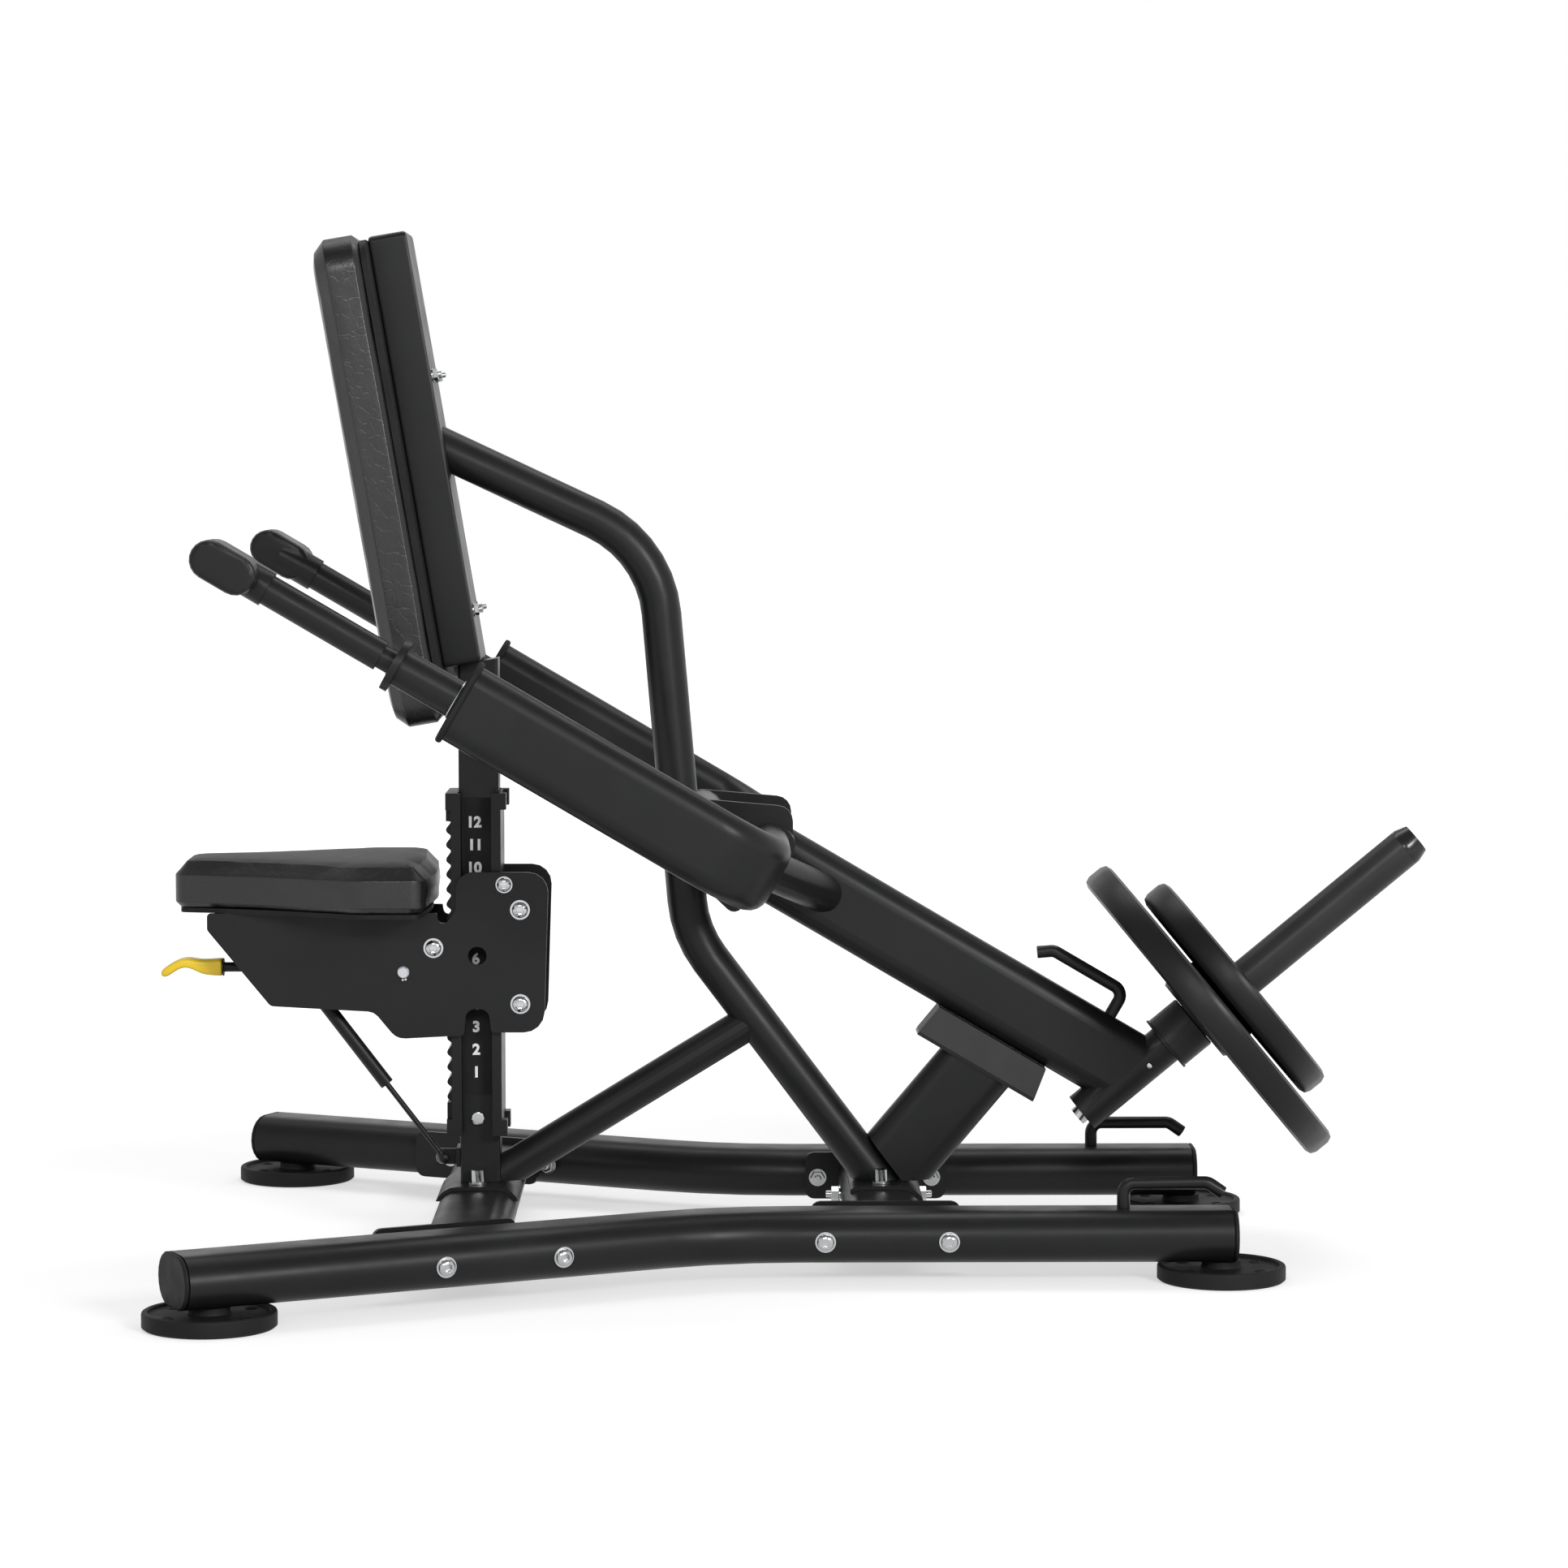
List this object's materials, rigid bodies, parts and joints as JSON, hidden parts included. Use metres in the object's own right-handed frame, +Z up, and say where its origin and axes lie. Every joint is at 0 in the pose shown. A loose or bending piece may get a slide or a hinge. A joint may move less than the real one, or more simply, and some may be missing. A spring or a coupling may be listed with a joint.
{
  "type": "seated dip machine",
  "caption": "Plate-loaded seated dip machine: two gripped lever arms pivot behind an adjustable seat and lift a weight horn, over splayed floor rails.",
  "frame": {"origin": "centre of the machine's length and width, on the floor", "axes": "+X towards the weight horn behind the back rest, +Y towards the sitter's right hand, +Z up"},
  "size_m": [1.6143, 1.2322, 1.2908],
  "materials": {
    "frame_paint": "satin powder coat",
    "dark_paint": "satin",
    "bright_metal": "polished",
    "cushion": "grained vinyl",
    "grip_rubber": "matte",
    "black_plastic": "matte",
    "plate_iron": "black enamel",
    "latch_paint": "gloss"
  },
  "bodies": {
    "base": {"rail_left": "frame_paint", "rail_right": "frame_paint", "rail_cap_left_front": "black_plastic", "rail_cap_left_rear": "black_plastic", "rail_cap_right_front": "black_plastic", "rail_cap_right_rear": "black_plastic", "foot_left_front": "dark_paint", "foot_left_rear": "dark_paint", "foot_right_front": "dark_paint", "foot_right_rear": "dark_paint", "band_peg_left": "frame_paint", "band_peg_right": "frame_paint", "front_cross_tube": "frame_paint", "rear_cross_tube": "frame_paint", "front_saddle": "frame_paint", "rear_saddle": "frame_paint", "saddle_bolt_front": "bright_metal", "saddle_bolt_rear": "bright_metal", "seat_post": "frame_paint", "rack": "dark_paint", "rear_guide": "dark_paint", "number_strip": "black_plastic", "post_plug": "bright_metal", "main_tube": "frame_paint", "brace_tube": "frame_paint", "stop_post": "frame_paint", "stop_bumper": "grip_rubber", "bracket_left": "frame_paint", "bracket_right": "frame_paint", "pivot_cross_tube": "frame_paint", "pivot_axle": "bright_metal", "back_frame": "frame_paint", "back_board": "black_plastic", "back_pad": "cushion", "gas_spring_bracket": "frame_paint"},
    "lever": {"boom": "frame_paint", "arm_left": "frame_paint", "arm_right": "frame_paint", "arm_cap_left": "black_plastic", "arm_cap_right": "black_plastic", "handle_tube_left": "dark_paint", "handle_tube_right": "dark_paint", "grip_left": "grip_rubber", "grip_right": "grip_rubber", "band_peg_boom": "frame_paint", "horn": "dark_paint", "horn_end_cap": "dark_paint", "horn_bolt": "bright_metal"},
    "large_plate": {"weight_plate_large": "plate_iron"},
    "small_plate": {"weight_plate_small": "plate_iron"},
    "seat": {"carriage": "frame_paint", "seat_board": "black_plastic", "seat_pad": "cushion"},
    "upper_roller": {"roller_upper": "black_plastic"},
    "lower_roller": {"roller_lower": "black_plastic"},
    "front_roller": {"roller_front": "black_plastic"},
    "latch": {"latch_lever": "latch_paint"},
    "spring_rod": {"gas_spring_rod": "dark_paint"},
    "spring_cylinder": {"gas_spring_cylinder": "dark_paint"}
  },
  "joints": [
    {"name": "lever_pivot", "type": "hinge", "parent": "base", "child": "lever", "pos_m": [-0.0246, 0, 0.524], "axis": [0, -1, 0], "range_deg": [0, 30]},
    {"name": "large_plate_slide", "type": "slide", "parent": "lever", "child": "large_plate", "axis": [0.77, 0, 0.6381], "range_m": [0, 0.2]},
    {"name": "small_plate_slide", "type": "slide", "parent": "large_plate", "child": "small_plate", "axis": [0.77, 0, 0.6381], "range_m": [0, 0.06]},
    {"name": "seat_slide", "type": "slide", "parent": "base", "child": "seat", "axis": [0, 0, 1], "range_m": [-0.1467, 0.1467]},
    {"name": "upper_roller_spin", "type": "hinge", "parent": "seat", "child": "upper_roller", "pos_m": [-0.3475, 0, 0.439], "axis": [0, 1, 0], "range_deg": [-350, 350]},
    {"name": "lower_roller_spin", "type": "hinge", "parent": "seat", "child": "lower_roller", "pos_m": [-0.3475, 0, 0.3194], "axis": [0, 1, 0], "range_deg": [-350, 350]},
    {"name": "front_roller_spin", "type": "hinge", "parent": "seat", "child": "front_roller", "pos_m": [-0.457, 0, 0.3907], "axis": [0, 1, 0], "range_deg": [-590, 590]},
    {"name": "latch_pivot", "type": "hinge", "parent": "seat", "child": "latch", "pos_m": [-0.4951, 0, 0.3599], "axis": [0, 1, 0], "range_deg": [0, 8]},
    {"name": "spring_swing", "type": "hinge", "parent": "base", "child": "spring_rod", "pos_m": [-0.4474, -0.02, 0.1171], "axis": [0, 1, 0], "range_deg": [-14, 14]},
    {"name": "spring_stroke", "type": "slide", "parent": "spring_rod", "child": "spring_cylinder", "axis": [-0.606, 0, 0.7955], "range_m": [-0.11, 0.11]}
  ],
  "couplings": [
    {"joint": "upper_roller_spin", "follows": "seat_slide", "rad_per_m": -41.32},
    {"joint": "lower_roller_spin", "follows": "seat_slide", "rad_per_m": -41.32},
    {"joint": "front_roller_spin", "follows": "seat_slide", "rad_per_m": 69.93},
    {"joint": "spring_swing", "follows": "seat_slide", "rad_per_m": 1.66},
    {"joint": "spring_stroke", "follows": "seat_slide", "ratio": 0.74}
  ]
}
